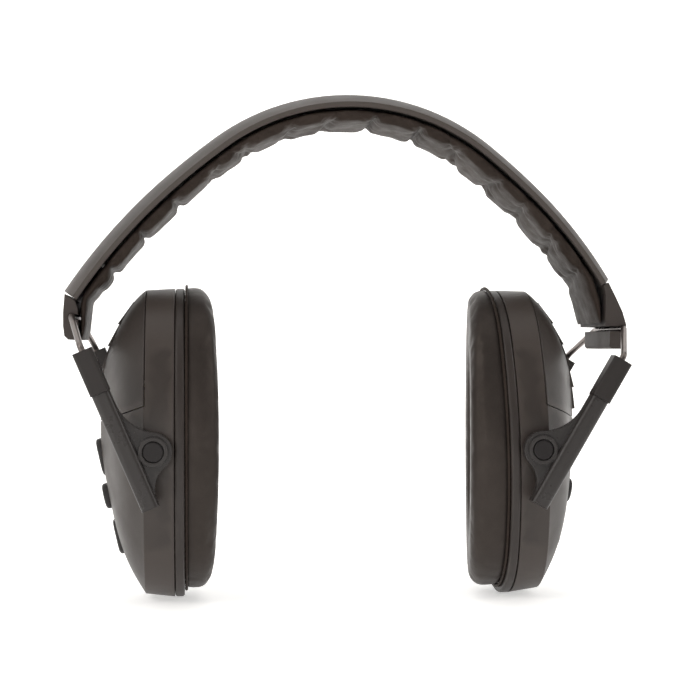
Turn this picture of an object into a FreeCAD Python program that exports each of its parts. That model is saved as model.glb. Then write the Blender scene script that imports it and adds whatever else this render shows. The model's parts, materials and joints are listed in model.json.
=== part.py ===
"""Folding electronic earmuff: a padded spring headband, two wire frames that fold on it,
sliding and tilting yokes, and two hollow ear cups with their electronics, millimetres, +Z up."""
import FreeCAD
import Part
import Sketcher
import math
import os

from FreeCAD import Placement, Rotation, Vector

SIZES = {
    # Headband, measured from the middle of the line that joins its two hinge bars
    "crown_height": 82.5, "crown_shift": 0.85, "crown_radius": 81.7, "crown_turn": 37.7,
    "flank_radius": 268.0, "flank_turn": 42.0, "end_radius_left": 211.0, "end_radius_right": 165.0,
    "strip_thickness": 4.9, "strip_depth": 37.0, "strip_end": 57.4, "strip_crowning": 38.0,
    "rim_edge": 1.7, "rim_width": 1.9,
    "spring_thickness": 1.4, "spring_depth": 30.0, "spring_end": 53.0,
    "pad_gap": 0.3, "pad_thickness": 4.6, "pad_depth": 36.0, "pad_end": 56.0,
    # Hinge blocks at the ends of the headband
    "block_depth": 37.0, "snap_slot": 1.7, "tongue_depth": 32.6, "tongue_start": 53.4,
    "tongue_end": 58.6, "tongue_inner": 6.1,
    # Wire frames
    "wire_diameter": 2.2, "running_gap": 0.05, "bar_half_length": 20.0, "leg_offset": 40.9,
    "shoulder_drop": 11.2, "wire_bend": 2.6, "leg_end": 66.0,
    # Yokes: two arms on each side, each a wire tube with a web and a pivot boss
    "mouth_drop": 12.8, "collar_length": 15.3, "collar_width": 6.8, "collar_depth": 6.2, "collar_edge": 0.9,
    "tube_length": 57.2, "tube_width": 6.2, "tube_depth": 5.6, "tube_bore_end": 67.5,
    "pivot_drop": 53.0, "pivot_inset": 8.1, "boss_radius": 6.4, "web_depth": 3.0,
    "web_upper_radius": 16.0, "web_lower_radius": 9.5, "tilt_left": 23.3, "tilt_right": 30.4,
    # Pivot pins
    "pin_diameter": 5.0, "pin_head_diameter": 6.6, "pin_head_depth": 1.4, "boss_bore_gap": 0.35,
    "boss_rim": 1.4, "boss_rise": 0.9, "head_seat_depth": 0.6, "pin_root": 5.0,
    # Cups, measured outward from the middle of the head
    "pivot_reach": 66.0, "pivot_height": 54.0, "cup_lean_left": 0.0, "cup_lean_right": 2.0,
    "cup_height": 110.0, "cup_half_depth": 37.4,
    "cup_roundness": 0.86, "shell_face": 59.1, "shell_crease": 69.3, "shell_wall": 1.9,
    "cover_edge": 69.0, "cover_gap": 0.25, "cover_height": 69.0, "cover_slope": 0.39,
    "rib_pitch": 7.8, "rib_rise": 0.7, "rib_width": 11.0, "rib_root": 1.1, "rib_foot": 3.0,
    "ring_face": 55.6, "ring_back": 58.9, "ring_lip": 0.5,
    "opening_height": 70.0, "opening_half_depth": 22.0,
    "cushion_face": 47.6, "cushion_wedge_left": 6.0, "cushion_wedge_right": 8.0,
    "cushion_low": 2.9, "cushion_high": 110.5, "cushion_half_depth": 36.4,
    "cushion_opening_height": 62.0, "cushion_opening_half_depth": 18.5, "cushion_edge": 2.4,
    # Electronics
    "foam_thickness": 2.6, "bracket_thickness": 1.2, "speaker_diameter": 40.0, "speaker_depth": 3.4,
    "tray_face": 63.9, "tray_thickness": 1.5, "battery_diameter": 10.5, "battery_length": 44.5,
    "battery_reach": 70.7, "battery_height": 60.9, "battery_pitch": 10.6, "battery_tip_radius": 1.9,
    "battery_tip_length": 1.0, "tray_low": 58.0,
    "panel_tilt": 13.0, "panel_reach": 82.9, "panel_height": 36.0,
    "board_depth_in": 11.0, "board_thickness": 1.2, "board_half_width": 13.0,
    "board_low": -23.0, "board_high": 18.0, "switch_side": 5.0, "switch_height": 3.6,
    "button_width": 8.6, "button_gap": 0.3, "button_rise": 1.3, "button_root": 6.2, "button_round": 1.2,
    "power_rise": 2.0, "power_ring_outer": 2.4, "power_ring_inner": 1.8, "power_ring_depth": 0.5,
    "microphone_diameter": 6.0, "microphone_depth": 3.0, "microphone_inset": 12.0,
    "microphone_height": 30.0,
    "screw_diameter": 2.5, "screw_head_diameter": 4.6, "screw_head_depth": 1.5, "screw_length": 9.0,
    "screw_seat_depth": 1.6, "screw_post_diameter": 6.0, "screw_post_length": 6.6,
}
SIDES = {"left": -1, "right": 1}
# Middle of each button along the outer face from the middle button, its rise from the panel
# plane and its length
BUTTONS = {"button_up": (13.9, -1.4, 13.5), "button_power": (0.0, -0.55, 9.2),
           "button_down": (-14.9, -0.85, 13.0)}
# Outlines of the hinge blocks and of the pad's tails below the headband, each measured outward
# and upward from the middle of the line between the hinge bars; they start at the strip's end
BLOCKS = {
    "left": [(100.1, 1.6), (100.0, -3.3), (99.5, -6.7), (98.2, -7.9), (95.0, -7.9), (94.5, -7.2),
             (94.9, -1.8), (95.2, 3.0)],
    "right": [(94.6, 10.9), (97.0, 6.0), (98.4, 1.6), (98.4, -5.8), (97.4, -7.2), (93.4, -7.2),
              (92.6, -6.4), (92.6, -0.4), (90.8, 1.0), (90.8, 12.0)]}
TAILS = {
    "left": [(94.6, 3.5), (94.6, -1.8), (94.2, -7.0), (94.1, -8.0), (93.2, -8.2), (92.3, -4.5),
             (91.7, 0.7), (91.3, 5.8)],
    "right": [(89.0, 14.0), (90.4, 9.0), (90.4, 1.6), (88.8, 1.6), (86.6, 8.5)]}
# Depth below the strip's crest at which each block's outer side starts
BLOCK_TOPS = {"left": 2.0, "right": 4.0}
# Length of a cut that leaves the material on its far side
THROUGH = "120"
# Cross-sections of the domed outer face: reach, lowest and highest point, half depth
DOME = [(69.3, 1.2, 109.4, 36.4), (73.0, 7.2, 106.0, 31.8), (77.0, 15.6, 100.5, 26.0),
        (81.0, 29.5, 92.5, 16.6), (83.8, 43.0, 85.0, 8.8), (85.3, 56.0, 74.0, 4.0)]

doc = FreeCAD.newDocument("Earmuff")
sheet = doc.addObject("Spreadsheet::Sheet", "Sizes")
for row, (name, value) in enumerate(SIZES.items(), 1):
    sheet.set(f"A{row}", name)
    sheet.set(f"B{row}", str(value))
    sheet.setAlias(f"B{row}", name)
doc.recompute()

parts = []


def size(name):
    """The value of a driving dimension."""
    return float(sheet.get(name))


def cell(name):
    return f"Sizes.{name}"


# ---------------------------------------------------------------- placements of the moving groups

def arm_directions(side):
    """Unit vectors up the wire tube and outward across it, as (x, z) pairs."""
    tilt = math.radians(size("tilt_left" if side < 0 else "tilt_right"))
    return (side * math.sin(tilt), math.cos(tilt)), (side * math.cos(tilt), -math.sin(tilt))


def hinge_bar(side):
    """Where a wire frame's bar crosses the middle plane."""
    up, out = arm_directions(side)
    along, across = size("pivot_drop"), size("pivot_inset")
    return Vector(side * size("pivot_reach") + along * up[0] + across * out[0], 0,
                  size("pivot_height") + along * up[1] + across * out[1])


def band_place():
    left, right = hinge_bar(-1), hinge_bar(1)
    span = right - left
    slope = math.degrees(math.atan2(-span.z, span.x))
    return Placement((left + right) * 0.5, Rotation(Vector(0, 1, 0), slope))


def arm_place(side):
    tilt = size("tilt_left" if side < 0 else "tilt_right")
    return Placement(hinge_bar(side), Rotation(Vector(0, 1, 0), side * tilt))


def panel_place(side, along=0.0, rise=0.0):
    """A frame on the outer face of a cup: X up the face, Y across it, Z outward."""
    tilt = math.radians(size("panel_tilt"))
    outward = Vector(side * math.cos(tilt), 0, -math.sin(tilt))
    upward = Vector(side * math.sin(tilt), 0, math.cos(tilt))
    base = Vector(side * size("panel_reach"), 0, size("panel_height")) + upward * along + outward * rise
    return cup_place(side) * Placement(base, Rotation(upward, outward.cross(upward), outward, "ZXY"))


def cup_place(side):
    """A cup leans on its pivots, its lower end outward."""
    lean = size("cup_lean_left" if side < 0 else "cup_lean_right")
    pivot = Vector(side * size("pivot_reach"), 0, size("pivot_height"))
    turn = Placement(Vector(), Rotation(Vector(0, 1, 0), -side * lean))
    return Placement(pivot, Rotation()) * turn * Placement(-pivot, Rotation())


# ---------------------------------------------------------------- drawing helpers

def new_body(label, place):
    body = doc.addObject("PartDesign::Body", label)
    body.Label = label
    body.Placement = place
    parts.append(body)
    return body


def origin_plane(body, role):
    return next(item for item in body.Origin.OriginFeatures if item.Role == role)


def new_sketch(body, role, name, distance=None):
    """A sketch on an origin plane of the body, at an optional distance along the plane's normal."""
    sketch = body.newObject("Sketcher::SketchObject", name)
    sketch.AttachmentSupport = (origin_plane(body, role), [""])
    sketch.MapMode = "FlatFace"
    if distance is not None:
        sketch.setExpression("AttachmentOffset.Base.z", distance)
    return sketch


def add_circle(sketch, x, y, radius_rule, radius=1.0):
    """A circle whose radius follows a rule written with the sheet's cells."""
    index = sketch.addGeometry(Part.Circle(Vector(x, y, 0), Vector(0, 0, 1), radius), False)
    sketch.addConstraint(Sketcher.Constraint("DistanceX", -1, 1, index, 3, x))
    sketch.addConstraint(Sketcher.Constraint("DistanceY", -1, 1, index, 3, y))
    rule = sketch.addConstraint(Sketcher.Constraint("Radius", index, radius))
    sketch.setExpression(f"Constraints[{rule}]", radius_rule)


def add_chain(sketch, points):
    """Closed straight-sided outline."""
    for start, end in zip(points, points[1:] + points[:1]):
        sketch.addGeometry(Part.LineSegment(Vector(*start, 0), Vector(*end, 0)), False)


def arc_by_angles(centre, radius, start, end):
    """Arc through counter-clockwise angles in radians."""
    circle = Part.Circle(Vector(*centre, 0), Vector(0, 0, 1), radius)
    return Part.ArcOfCircle(circle, start, end)


def add_oval(sketch, low, high, half_width, roundness, centre_x=0.0):
    """Four tangent arcs: round ends above and below, long flatter flanks on both sides."""
    half_height, middle = (high - low) / 2, (high + low) / 2
    end_radius = roundness * min(half_width, half_height)
    reach = half_height - end_radius
    flank_radius = (reach ** 2 + half_width ** 2 - end_radius ** 2) / (2 * (half_width - end_radius))
    shift = flank_radius - half_width
    turn = math.atan2(reach, shift)
    for centre, radius, start, end in (
            ((centre_x - shift, middle), flank_radius, -turn, turn),
            ((centre_x, middle + reach), end_radius, turn, math.pi - turn),
            ((centre_x + shift, middle), flank_radius, math.pi - turn, math.pi + turn),
            ((centre_x, middle - reach), end_radius, math.pi + turn, 2 * math.pi - turn)):
        sketch.addGeometry(arc_by_angles(centre, radius, start, end), False)


def add_slot(sketch, length, width):
    """A slot with round ends along the sketch's X axis."""
    half, radius = (length - width) / 2, width / 2
    sketch.addGeometry(Part.LineSegment(Vector(-half, radius, 0), Vector(half, radius, 0)), False)
    sketch.addGeometry(arc_by_angles((half, 0), radius, -math.pi / 2, math.pi / 2), False)
    sketch.addGeometry(Part.LineSegment(Vector(half, -radius, 0), Vector(-half, -radius, 0)), False)
    sketch.addGeometry(arc_by_angles((-half, 0), radius, math.pi / 2, 3 * math.pi / 2), False)


def pad(body, sketch, length_rule, midplane=False, reverse=False):
    feature = body.newObject("PartDesign::Pad", "Pad")
    feature.Profile = sketch
    feature.Midplane = midplane
    feature.Reversed = reverse
    feature.setExpression("Length", length_rule)
    return feature


def pocket(body, sketch, length_rule, midplane=False, reverse=False):
    feature = body.newObject("PartDesign::Pocket", "Pocket")
    feature.Profile = sketch
    feature.Midplane = midplane
    feature.Reversed = reverse
    feature.setExpression("Length", length_rule)
    return feature


def loft(body, kind, sketches, ruled=False):
    feature = body.newObject(f"PartDesign::{kind}Loft", "Loft")
    feature.Profile = sketches[0]
    feature.Sections = sketches[1:]
    feature.Ruled = ruled
    return feature


def round_edges(body, base, radius, chosen):
    """Rounds the edges of a feature that a test picks."""
    doc.recompute()
    names = [f"Edge{index}" for index, edge in enumerate(base.Shape.Edges, 1) if chosen(edge)]
    feature = body.newObject("PartDesign::Fillet", "Fillet")
    feature.Base = (base, names)
    feature.Radius = radius
    return feature


def cylinder(name, radius_rule, height_rule, place):
    solid = doc.addObject("Part::Cylinder", name)
    solid.setExpression("Radius", radius_rule)
    solid.setExpression("Height", height_rule)
    solid.Placement = place
    return solid


def group(label, solids):
    """Identical pieces that share one node."""
    compound = doc.addObject("Part::Compound", label)
    compound.Label = label
    compound.Links = solids
    parts.append(compound)
    return compound


# ---------------------------------------------------------------- headband

def band_arcs(side, offset, end_angle):
    """One half of the headband's line at a depth below its crest, crown to end: three tangent
    arcs as (centre, radius, start, end) with angles measured from straight up."""
    crown, flank, end = (size(name) for name in ("crown_radius", "flank_radius", end_radius(side)))
    first, second = math.radians(size("crown_turn")), math.radians(size("flank_turn"))
    crown_centre = (0.0, size("crown_height") - crown)
    flank_centre = (crown_centre[0] - (flank - crown) * math.sin(first),
                    crown_centre[1] - (flank - crown) * math.cos(first))
    end_centre = (flank_centre[0] + (flank - end) * math.sin(second),
                  flank_centre[1] + (flank - end) * math.cos(second))
    return [(crown_centre, crown - offset, 0.0, first), (flank_centre, flank - offset, first, second),
            (end_centre, end - offset, second, math.radians(end_angle))]


def end_radius(side):
    return "end_radius_left" if side < 0 else "end_radius_right"


def band_point(side, offset, angle):
    """A point of the headband's end stretch, at an angle from straight up, from the crown's middle."""
    centre, radius = band_arcs(side, offset, angle)[2][:2]
    turn = math.radians(angle)
    return centre[0] + radius * math.sin(turn), centre[1] + radius * math.cos(turn)


def add_band_line(sketch, side, offset, end_angle):
    """The arcs of one half of the headband's line."""
    for centre, radius, start, end in band_arcs(side, offset, end_angle):
        angles = (math.pi / 2 - end, math.pi / 2 - start)
        if side < 0:
            angles = (math.pi / 2 + start, math.pi / 2 + end)
        sketch.addGeometry(arc_by_angles((side * centre[0], centre[1]), radius, *angles), False)


def band_body(label):
    return new_body(label, band_place() * Placement(Vector(size("crown_shift"), 0, 0), Rotation()))


def band_layer(label, outer, inner, end_angle, depth_rule, ends=None):
    """A layer of the headband between two depths. Each end is square, or follows given points
    from the outer depth to the inner one."""
    body = band_body(label)
    sketch = new_sketch(body, "XZ_Plane", "Outline")
    for name, side in SIDES.items():
        for offset in (outer, inner):
            add_band_line(sketch, side, offset, end_angle)
        shift = side * size("crown_shift")
        points = [band_point(side, outer, end_angle)]
        points += [(x - shift, z) for x, z in (ends or {}).get(name, [])]
        points.append(band_point(side, inner, end_angle))
        corners = [Vector(side * x, z, 0) for x, z in points]
        for start, end in zip(corners, corners[1:]):
            sketch.addGeometry(Part.LineSegment(start, end), False)
    return pad(body, sketch, depth_rule, midplane=True)


def headband_strip():
    """The outer strip: a shallow channel with a crowned back, swept from the crown to both ends."""
    body = band_body("headband_strip")
    crest, half, crowning = size("crown_height"), size("strip_depth") / 2, size("strip_crowning")
    edge = crest - crowning + math.sqrt(crowning ** 2 - half ** 2)
    foot, inner, roof = edge - size("rim_edge"), half - size("rim_width"), crest - size("strip_thickness")
    section = new_sketch(body, "YZ_Plane", "Section")
    section.addGeometry(Part.Arc(Vector(-half, edge, 0), Vector(0, crest, 0), Vector(half, edge, 0)), False)
    corners = [Vector(y, z, 0) for y, z in ((half, edge), (half, foot), (inner, foot), (inner, roof),
                                            (-inner, roof), (-inner, foot), (-half, foot), (-half, edge))]
    for start, end in zip(corners, corners[1:]):
        section.addGeometry(Part.LineSegment(start, end), False)
    for name, side in SIDES.items():
        path = new_sketch(body, "XZ_Plane", f"Path_{name}")
        add_band_line(path, side, 0.0, size("strip_end"))
        sweep = body.newObject("PartDesign::AdditivePipe", "Sweep")
        sweep.Profile = section
        sweep.Spine = path


def spring_band():
    outer = size("strip_thickness")
    band_layer("spring_band", outer, outer + size("spring_thickness"), size("spring_end"),
               cell("spring_depth"))


def headband_pad():
    """The pad ends in a tail on each side that hangs in front of the hinge block."""
    outer = size("strip_thickness") + size("spring_thickness") + size("pad_gap")
    band_layer("headband_pad", outer, outer + size("pad_thickness"), size("pad_end"),
               cell("pad_depth"), TAILS)


def end_block(name, side):
    """A hinge block: a tongue under the strip and a body that snaps over the wire frame's bar."""
    body = new_body(f"end_block_{name}", band_place())
    bar = (hinge_bar(1) - hinge_bar(-1)).Length / 2
    gap, strip, inner = size("cover_gap"), size("strip_thickness"), size("tongue_inner")
    start, end, below_strip = size("tongue_start"), size("tongue_end"), size("strip_end") + 0.15
    shift = side * size("crown_shift")

    def shifted(*places):
        return [(x + shift, z) for x, z in (band_point(side, *place) for place in places)]

    outline = shifted((inner, below_strip), (BLOCK_TOPS[name], below_strip)) + BLOCKS[name]
    tongue_outline = shifted((strip + gap, start), (strip + gap, end), (inner, end), (inner, start))
    for label, points, depth in (("Outline", outline, "block_depth"),
                                 ("Tongue", tongue_outline, "tongue_depth")):
        sketch = new_sketch(body, "XZ_Plane", label)
        add_chain(sketch, [(side * x, z) for x, z in points])
        pad(body, sketch, cell(depth), midplane=True)
    bore = new_sketch(body, "XZ_Plane", "Bore")
    add_circle(bore, side * bar, 0.0, f"{cell('wire_diameter')} / 2 + {cell('running_gap')}")
    pocket(body, bore, f"{cell('block_depth')} + 2", midplane=True)
    mouth = new_sketch(body, "XZ_Plane", "SnapMouth")
    half_slot, inside = size("snap_slot") / 2, bar - 10.0
    add_chain(mouth, [(side * x, z) for x, z in (
        (bar, half_slot), (bar, -half_slot), (inside, -half_slot), (inside, half_slot))])
    pocket(body, mouth, f"{cell('block_depth')} + 2", midplane=True)


# ---------------------------------------------------------------- wire frames

def wire_frame(name, side):
    """One bent steel wire: a leg, a shoulder, the hinge bar, a shoulder and a leg."""
    body = new_body(f"wire_frame_{name}", arm_place(side))
    corners = [(-size("leg_offset"), -size("leg_end")), (-size("leg_offset"), -size("shoulder_drop")),
               (-size("bar_half_length"), 0.0), (size("bar_half_length"), 0.0),
               (size("leg_offset"), -size("shoulder_drop")), (size("leg_offset"), -size("leg_end"))]
    path = new_sketch(body, "YZ_Plane", "Path")
    last = Vector(*corners[0], 0)
    for before, corner, after in zip(corners, corners[1:], corners[2:]):
        here, back, ahead = (Vector(*point, 0) for point in (corner, before, after))
        inward, outward = (back - here).normalize(), (ahead - here).normalize()
        half_angle = inward.getAngle(outward) / 2
        setback = size("wire_bend") / math.tan(half_angle)
        bisector = (inward + outward).normalize()
        centre = here + bisector * (size("wire_bend") / math.sin(half_angle))
        start, end = here + inward * setback, here + outward * setback
        middle = centre - bisector * size("wire_bend")
        path.addGeometry(Part.LineSegment(last, start), False)
        path.addGeometry(Part.Arc(start, middle, end), False)
        last = end
    path.addGeometry(Part.LineSegment(last, Vector(*corners[-1], 0)), False)
    section = new_sketch(body, "XY_Plane", "Section", f"-{cell('leg_end')}")
    add_circle(section, 0.0, -size("leg_offset"), f"{cell('wire_diameter')} / 2")
    pipe = body.newObject("PartDesign::AdditivePipe", "Wire")
    pipe.Profile = section
    pipe.Spine = path


# ---------------------------------------------------------------- yokes

def along_arm(edge):
    """True for edges that run along the wire tube."""
    start, end = edge.Vertexes[0].Point, edge.Vertexes[-1].Point
    return edge.Curve.TypeId == "Part::GeomLine" and abs(start.x - end.x) + abs(start.y - end.y) < 0.01


def bore_for_wire(body, start, length, facing, reverse):
    """A round hole for the wire's leg."""
    sketch = new_sketch(body, "XY_Plane", "WireBore", f"-{start}")
    radius = f"{cell('wire_diameter')} / 2 + {cell('running_gap')}"
    add_circle(sketch, 0.0, facing * size("leg_offset"), radius)
    pocket(body, sketch, length, reverse=reverse)


def collar(name, place_name, side, facing):
    """The block that closes the top of a wire tube."""
    body = new_body(f"collar_{place_name}_{name}", arm_place(side))
    sketch = new_sketch(body, "XY_Plane", "Section", f"-{cell('mouth_drop')}")
    half = size("collar_width") / 2
    near = facing * (size("leg_offset") - size("tube_depth") / 2)
    far = near + facing * size("collar_depth")
    add_chain(sketch, [(-half, near), (half, near), (half, far), (-half, far)])
    block = pad(body, sketch, cell("collar_length"), reverse=True)
    round_edges(body, block, size("collar_edge"),
                lambda edge: along_arm(edge) and abs(edge.Vertexes[0].Y - far) < 0.1)
    bore_for_wire(body, cell("mouth_drop"), f"{cell('collar_length')} + 1", facing, reverse=False)


def arm(name, place_name, side, facing):
    """A wire tube with its web and pivot boss, in the frame of the hinge bar."""
    body = new_body(f"arm_{place_name}_{name}", arm_place(side))
    half = size("tube_width") / 2
    near = facing * (size("leg_offset") - size("tube_depth") / 2)
    far = near + facing * size("tube_depth")
    start = f"-({cell('mouth_drop')} + {cell('collar_length')})"
    tube_sketch = new_sketch(body, "XY_Plane", "TubeSection", start)
    add_chain(tube_sketch, [(-half, near), (half, near), (half, far), (-half, far)])
    tube = pad(body, tube_sketch, f"{cell('tube_length')} - {cell('collar_length')}", reverse=True)
    round_edges(body, tube, 1.6, lambda edge: along_arm(edge) and abs(edge.Vertexes[0].Y - far) < 0.1)

    boss, depth = size("boss_radius"), size("pivot_drop")
    inset = size("pivot_inset")

    def blend(radius, sign):
        """Centre height of an arc that is tangent to the tube's inner side and to the boss."""
        across = inset - half - radius
        return sign * math.sqrt((radius + boss) ** 2 - across ** 2)

    upper, lower = size("web_upper_radius"), size("web_lower_radius")
    boss_at = (-side * inset, -depth)
    web = new_sketch(body, "XZ_Plane", "Web", f"{-near}")
    upper_centre = (-side * (half + upper), -depth + blend(upper, 1))
    lower_centre = (-side * (half + lower), -depth + blend(lower, -1))

    def tangent(centre, radius):
        return tuple(centre[i] + (boss_at[i] - centre[i]) * radius / (radius + boss) for i in (0, 1))

    upper_touch, lower_touch = tangent(upper_centre, upper), tangent(lower_centre, lower)
    inner = -side * (half - 1.0)
    edge_x = -side * half
    boss_far = (boss_at[0] - side * boss, boss_at[1])

    def arc_between(start, end, centre, radius):
        chord_middle = (Vector(*start, 0) + Vector(*end, 0)) * 0.5
        through = Vector(*centre, 0) + (chord_middle - Vector(*centre, 0)).normalize() * radius
        web.addGeometry(Part.Arc(Vector(*start, 0), through, Vector(*end, 0)), False)

    arc_between((edge_x, upper_centre[1]), upper_touch, upper_centre, upper)
    web.addGeometry(Part.Arc(Vector(*upper_touch, 0), Vector(*boss_far, 0), Vector(*lower_touch, 0)), False)
    arc_between(lower_touch, (edge_x, lower_centre[1]), lower_centre, lower)
    for start, end in (((edge_x, lower_centre[1]), (inner, lower_centre[1])),
                       ((inner, lower_centre[1]), (inner, upper_centre[1])),
                       ((inner, upper_centre[1]), (edge_x, upper_centre[1]))):
        web.addGeometry(Part.LineSegment(Vector(*start, 0), Vector(*end, 0)), False)
    pad(body, web, cell("web_depth"), reverse=facing > 0)

    ring = new_sketch(body, "XZ_Plane", "BossRing", f"{-near}")
    add_circle(ring, *boss_at, f"{cell('boss_radius')} - {cell('boss_rim')}")
    pad(body, ring, f"{cell('web_depth')} + {cell('boss_rise')}", reverse=facing > 0)
    bore_length = f"{cell('tube_bore_end')} - {cell('mouth_drop')} + 1"
    bore_for_wire(body, cell("tube_bore_end"), bore_length, facing, reverse=True)
    pivot = new_sketch(body, "XZ_Plane", "PivotBore")
    add_circle(pivot, *boss_at, f"{cell('pin_diameter')} / 2 + {cell('running_gap')}")
    pocket(body, pivot, THROUGH, reverse=facing < 0)
    seat = abs(near) + size("web_depth") - size("head_seat_depth")
    counterbore = new_sketch(body, "XZ_Plane", "HeadSeat", f"{-facing * seat}")
    add_circle(counterbore, *boss_at, f"{cell('pin_head_diameter')} / 2 + {cell('boss_bore_gap')}")
    pocket(body, counterbore, THROUGH, reverse=facing < 0)


def pivot_pins(name, side):
    """Two headed pins that hold the cup between its arms."""
    near = size("leg_offset") - size("tube_depth") / 2
    seat = near + size("web_depth") - size("head_seat_depth")
    clear = 0.1
    pins = []
    for facing in (-1, 1):
        turn = Rotation(Vector(1, 0, 0), -90 * facing)
        root = size("cup_half_depth") - size("pin_root")
        base = Vector(side * size("pivot_reach"), facing * root, size("pivot_height"))
        shaft = cylinder("Shaft", f"{cell('pin_diameter')} / 2", f"{seat - root + 2 * clear}",
                         Placement(base, turn))
        head_base = Vector(base.x, facing * (seat + clear), base.z)
        head = cylinder("Head", f"{cell('pin_head_diameter')} / 2", cell("pin_head_depth"),
                        Placement(head_base, turn))
        pin = doc.addObject("Part::Fuse", "Pin")
        pin.Base, pin.Tool = shaft, head
        pins.append(pin)
    group(f"pivot_pins_{name}", pins)


# ---------------------------------------------------------------- cups

def section_sketch(body, side, reach, low, high, half_depth, name="Section"):
    sketch = new_sketch(body, "YZ_Plane", name, f"{side * reach}")
    add_oval(sketch, low, high, half_depth, size("cup_roundness"))
    return sketch


def cup_blank(body, side):
    """The whole outer housing of a cup as one hollow form: an upright wall and a domed outer face."""
    face, crease, wall = size("shell_face"), size("shell_crease"), size("shell_wall")
    height, half = size("cup_height"), size("cup_half_depth")
    skirt = [section_sketch(body, side, face, 0.0, height, half), section_sketch(body, side, *DOME[0])]
    loft(body, "Additive", skirt, ruled=True)
    dome = [section_sketch(body, side, *section) for section in DOME]
    loft(body, "Additive", dome)
    inner_skirt = [section_sketch(body, side, face - 0.5, wall, height - wall, half - wall),
                   section_sketch(body, side, crease - wall * 0.6, DOME[0][1] + wall, DOME[0][2] - wall,
                                  DOME[0][3] - wall)]
    loft(body, "Subtractive", inner_skirt, ruled=True)
    inner_dome = [section_sketch(body, side, reach - wall * 0.6, low + wall, high - wall, half_depth - wall)
                  for reach, low, high, half_depth in DOME]
    return loft(body, "Subtractive", inner_dome)


def cover_region(body, side, grow, keep_upper):
    """Cuts a cup blank along the cover's edge: a line down the front and a slope over the outer face.
    Keeping the upper part leaves the cover; cutting it leaves the housing."""
    edge, height, slope = size("cover_edge") - grow, size("cover_height") - grow, size("cover_slope")
    outside = size("panel_reach") + 20.0
    slope_end = height - slope * (outside - edge)
    sketch = new_sketch(body, "XZ_Plane", "CoverRegion")
    if keep_upper:
        outline = [(edge, 130.0), (edge, height), (outside, slope_end), (outside, -20.0),
                   (40.0, -20.0), (40.0, 130.0)]
    else:
        outline = [(edge, 130.0), (edge, height), (outside, slope_end), (outside, 130.0)]
    add_chain(sketch, [(side * x, z) for x, z in outline])
    pocket(body, sketch, THROUGH, midplane=True)


def button_sketch(body, side, along, rise, length, width, distance, name):
    """A slot outline lying on the outer face, on a plane of the panel's frame."""
    place = cup_place(side).inverse() * panel_place(side, along, rise + distance)
    sketch = body.newObject("Sketcher::SketchObject", name)
    sketch.Placement = place
    add_slot(sketch, length, width)
    return sketch


def screw_points():
    """Places of the four housing screws, as (y, z)."""
    height, half = size("cup_height"), size("cup_half_depth")
    return [(y * 0.50 * half, height / 2 + z * 0.33 * height) for y in (-1, 1) for z in (-1, 1)]


def cup_shell(name, side):
    """The outer housing below the battery cover, with button openings, pin holes and screw posts."""
    body = new_body(f"cup_shell_{name}", cup_place(side))
    cup_blank(body, side)
    cover_region(body, side, 0.0, keep_upper=False)
    pins = new_sketch(body, "XZ_Plane", "PinHoles")
    add_circle(pins, side * size("pivot_reach"), size("pivot_height"), f"{cell('pin_diameter')} / 2")
    pocket(body, pins, THROUGH, midplane=True)
    for label, (along, rise, length) in BUTTONS.items():
        gap = size("button_gap")
        width = size("button_width") + 2 * gap
        opening = button_sketch(body, side, along, rise, length + 2 * gap, width, 8.0, label)
        pocket(body, opening, "24")


def battery_cover(name, side):
    """The louvred cover over the upper outer face."""
    body = new_body(f"battery_cover_{name}", cup_place(side))
    cup_blank(body, side)
    cover_region(body, side, -size("cover_gap"), keep_upper=True)
    ribs = new_sketch(body, "XZ_Plane", "Ribs")
    add_chain(ribs, [(side * x, z) for x, z in rib_outline()])
    pad(body, ribs, cell("rib_width"), midplane=True)


def dome_reach(height):
    """How far out the dome's middle line lies at a height above its widest point."""
    upper = [(high, reach) for reach, _, high, _ in DOME][::-1]
    for (low_z, low_x), (high_z, high_x) in zip(upper, upper[1:]):
        if low_z <= height <= high_z:
            return low_x + (high_x - low_x) * (height - low_z) / (high_z - low_z)
    return upper[0][1]


def rib_outline():
    """Shingled edge of the louvres: each one leans outward and steps back at its foot."""
    pitch, rise = size("rib_pitch"), size("rib_rise")
    foot, root = size("cover_height") - size("rib_foot"), size("rib_root")
    outer = []
    for index in range(5):
        low, high = foot + index * pitch, foot + (index + 1) * pitch
        outer.append((dome_reach(low) + rise, low))
        outer.append((dome_reach(high) + 0.05, high))
    inner = [(x - rise - root, z) for x, z in outer[::2]] + [(outer[-1][0] - root, outer[-1][1])]
    return outer + inner[::-1]


def cushion_ring(name, side):
    """The base ring that closes the housing and carries the ear cushion."""
    body = new_body(f"cushion_ring_{name}", cup_place(side))
    lip, height = size("ring_lip"), size("cup_height")
    outline = section_sketch(body, side, size("ring_face"), 0.0, height, size("cup_half_depth") + lip)
    base = pad(body, outline, f"{cell('ring_back')} - {cell('ring_face')}", reverse=side < 0)
    round_edges(body, base, 0.9, lambda edge: edge.Length > 20 and abs(edge.BoundBox.XLength) < 0.01)
    opening = section_sketch(body, side, size("ring_face") - 1.0, height / 2 - size("opening_height") / 2,
                             height / 2 + size("opening_height") / 2, size("opening_half_depth"), "Opening")
    pocket(body, opening, "6", reverse=side > 0)
    holes = new_sketch(body, "YZ_Plane", "ScrewHoles", f"{side * (size('ring_face') - 1.0)}")
    for y, z in screw_points():
        add_circle(holes, y, z, f"{cell('screw_diameter')} / 2")
    pocket(body, holes, "6", reverse=side > 0)
    seats = new_sketch(body, "YZ_Plane", "ScrewSeats", f"{side * (size('ring_face') - 1.0)}")
    for y, z in screw_points():
        add_circle(seats, y, z, f"{cell('screw_head_diameter')} / 2")
    pocket(body, seats, f"{cell('screw_seat_depth')} + 1", reverse=side > 0)


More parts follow.
